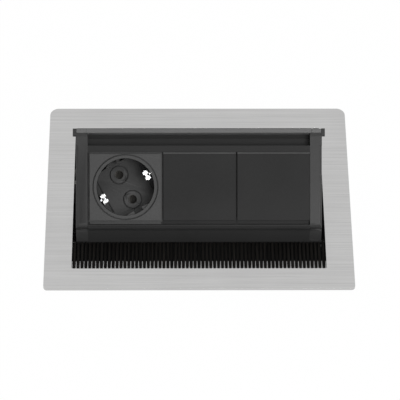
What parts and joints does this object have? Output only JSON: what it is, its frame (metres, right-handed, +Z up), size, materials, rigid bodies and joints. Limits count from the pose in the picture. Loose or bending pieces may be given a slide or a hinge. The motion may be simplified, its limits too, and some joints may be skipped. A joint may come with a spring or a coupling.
{
  "type": "in-desk power module",
  "caption": "In-desk power unit: a tilting carrier with a socket and blank plates under a lid, in a steel frame with a brush-lined cable outlet and a black housing.",
  "frame": {"origin": "middle of the frame on the desk surface, which is the underside of the frame plate", "axes": "+X across the desk to the user's right, +Y away from the user, +Z up out of the desk; the unit is drawn swung open"},
  "size_m": [0.208, 0.161, 0.131],
  "materials": {
    "brushed_stainless": "brushed along X, satin",
    "black_sheet": "fine-textured matt black powder coat",
    "zinc_steel": "zinc plated",
    "ledge_aluminium": "mill finish",
    "bristles": "black nylon bristles",
    "nylon": "natural nylon",
    "lid_grey": "sandblasted, grey anodised",
    "carrier_black": "matt black",
    "cap_black": "fine-grained black plastic",
    "module_black": "sandblasted black plastic",
    "socket_black": "fine-grained charcoal plastic",
    "clip_nickel": "bright nickel",
    "brass": "bare brass",
    "base_grey": "light grey plastic",
    "gland_black": "black nylon",
    "seal_rubber": "soft black rubber",
    "clamp_zinc": "zinc plated sheet"
  },
  "bodies": {
    "fixed_housing": {"frame_plate": "brushed_stainless", "housing": "black_sheet", "frame_screws": "zinc_steel", "brush_holder": "ledge_aluminium", "brush_strip": "bristles", "pivot_pin_left": "zinc_steel", "pivot_pin_right": "zinc_steel", "friction_washer_left": "nylon", "friction_washer_right": "nylon", "spring_washer_left": "zinc_steel", "spring_washer_right": "zinc_steel", "pivot_nut_left": "zinc_steel", "pivot_nut_right": "zinc_steel", "stop_pin_left": "zinc_steel", "stop_pin_right": "zinc_steel", "clamp_left": "clamp_zinc", "clamp_right": "clamp_zinc", "clamp_screws": "zinc_steel", "clamp_nuts": "zinc_steel"},
    "tilting_unit": {"lid_panel": "lid_grey", "lid_end_left": "lid_grey", "lid_end_right": "lid_grey", "lid_screws": "zinc_steel", "upper_rail": "carrier_black", "lower_rail": "carrier_black", "end_cap_left": "cap_black", "end_cap_right": "cap_black", "end_cap_screws": "zinc_steel", "pivot_bush_left": "nylon", "pivot_bush_right": "nylon", "carrier_cover": "carrier_black", "cover_screws": "zinc_steel", "socket_bezel": "socket_black", "socket_insert": "socket_black", "earth_clip": "clip_nickel", "contact_left": "brass", "contact_right": "brass", "terminal_screws": "zinc_steel", "socket_base": "base_grey", "blank_centre": "module_black", "blank_right": "module_black", "gland_body": "gland_black", "gland_nut": "gland_black", "gland_locknut": "gland_black", "gland_seal": "seal_rubber"}
  },
  "joints": [
    {"name": "tilt", "type": "hinge", "parent": "fixed_housing", "child": "tilting_unit", "pos_m": [0, 0.0346, -0.0168], "axis": [1, 0, 0], "range_deg": [0, 60]}
  ]
}
